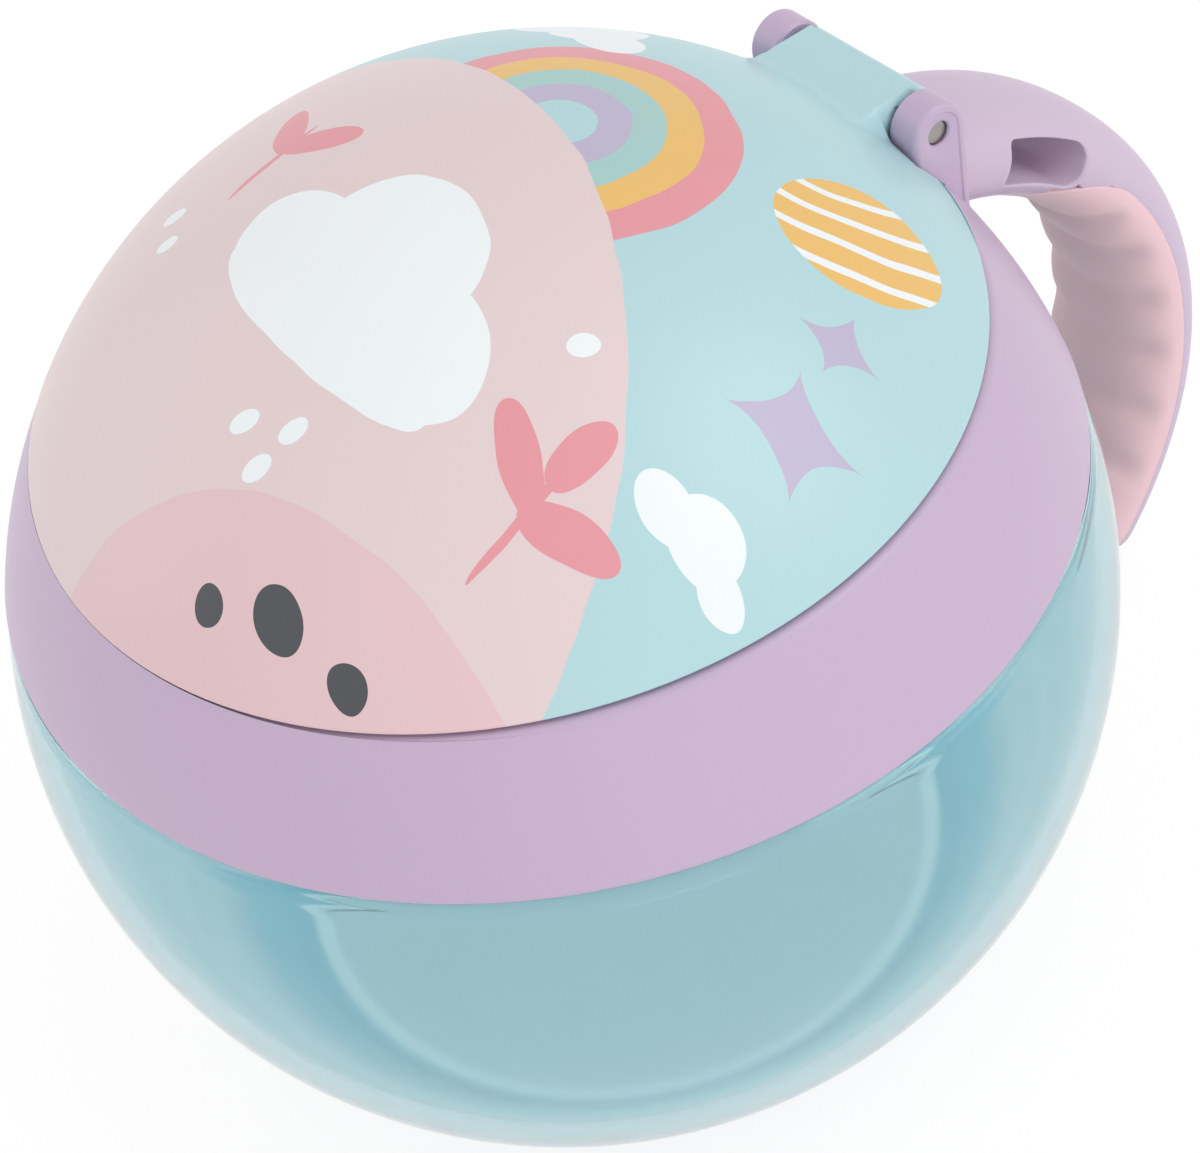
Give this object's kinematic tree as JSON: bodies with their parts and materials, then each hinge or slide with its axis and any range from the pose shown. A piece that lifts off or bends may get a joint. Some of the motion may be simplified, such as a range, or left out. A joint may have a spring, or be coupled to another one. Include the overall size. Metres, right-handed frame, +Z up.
{
  "type": "toddler snack container",
  "caption": "Round snack cup with a clear bowl, a screw-on collar with a C-shaped soft-grip handle, soft petal flaps in the mouth and a domed flip lid.",
  "frame": {"origin": "middle of the flat base, on the surface that it stands on", "axes": "+Z up, +Y towards the hinge and the handle, -Y the side where the lid opens, +X to the right along the hinge pin"},
  "size_m": [0.102, 0.1279, 0.0899],
  "materials": {
    "bowl_clear": "glossy, tinted and translucent",
    "collar_lilac": "satin",
    "handle_lilac": "satin",
    "grip_pink": "matt, soft moulded",
    "lid_blue": "semi-gloss with a printed top",
    "liner_white": "satin",
    "seal_soft": "soft, translucent white",
    "flap_soft": "soft, matt",
    "pin_steel": "satin"
  },
  "bodies": {
    "bowl": {"bowl": "bowl_clear"},
    "gasket": {"bowl_gasket": "seal_soft"},
    "collar": {"collar": "collar_lilac", "handle_frame": "handle_lilac", "handle_grip": "grip_pink", "hinge_pin": "pin_steel", "flap_rim": "flap_soft", "flap_clamp": "collar_lilac"},
    "lid": {"lid_shell": "lid_blue", "lid_liner": "liner_white", "lid_seal": "seal_soft"},
    "flap_1": {"flap_1": "flap_soft"},
    "flap_2": {"flap_2": "flap_soft"},
    "flap_3": {"flap_3": "flap_soft"},
    "flap_4": {"flap_4": "flap_soft"},
    "flap_5": {"flap_5": "flap_soft"},
    "flap_6": {"flap_6": "flap_soft"}
  },
  "joints": [
    {"name": "collar_lift", "type": "slide", "parent": "bowl", "child": "gasket", "axis": [0, 0, 1], "range_m": [0, 0.0091]},
    {"name": "collar_turn", "type": "hinge", "parent": "gasket", "child": "collar", "pos_m": [0, 0, 0.0572], "axis": [0, 0, 1], "range_deg": [0, 270]},
    {"name": "lid_hinge", "type": "hinge", "parent": "collar", "child": "lid", "pos_m": [0, 0.04011, 0.07319], "axis": [-1, 0, 0], "range_deg": [0, 165]},
    {"name": "flap_1_bend", "type": "hinge", "parent": "collar", "child": "flap_1", "pos_m": [0, -0.02585, 0.05937], "axis": [-1, 0, 0], "range_deg": [-35, 75], "stiffness_Nm_per_rad": 0.004},
    {"name": "flap_2_bend", "type": "hinge", "parent": "collar", "child": "flap_2", "pos_m": [0.02166, -0.01335, 0.05985], "axis": [-0.5, -0.8654, -0.0332], "range_deg": [-35, 75], "stiffness_Nm_per_rad": 0.004},
    {"name": "flap_3_bend", "type": "hinge", "parent": "collar", "child": "flap_3", "pos_m": [0.02166, 0.01164, 0.06081], "axis": [0.5, -0.8654, -0.0332], "range_deg": [-35, 75], "stiffness_Nm_per_rad": 0.004},
    {"name": "flap_4_bend", "type": "hinge", "parent": "collar", "child": "flap_4", "pos_m": [0, 0.02413, 0.06129], "axis": [1, 0, 0], "range_deg": [-35, 75], "stiffness_Nm_per_rad": 0.004},
    {"name": "flap_5_bend", "type": "hinge", "parent": "collar", "child": "flap_5", "pos_m": [-0.02166, 0.01164, 0.06081], "axis": [0.5, 0.8654, 0.0332], "range_deg": [-35, 75], "stiffness_Nm_per_rad": 0.004},
    {"name": "flap_6_bend", "type": "hinge", "parent": "collar", "child": "flap_6", "pos_m": [-0.02166, -0.01335, 0.05985], "axis": [-0.5, 0.8654, 0.0332], "range_deg": [-35, 75], "stiffness_Nm_per_rad": 0.004}
  ],
  "couplings": [
    {"joint": "collar_lift", "follows": "collar_turn", "m_per_rad": 0.0019099}
  ]
}
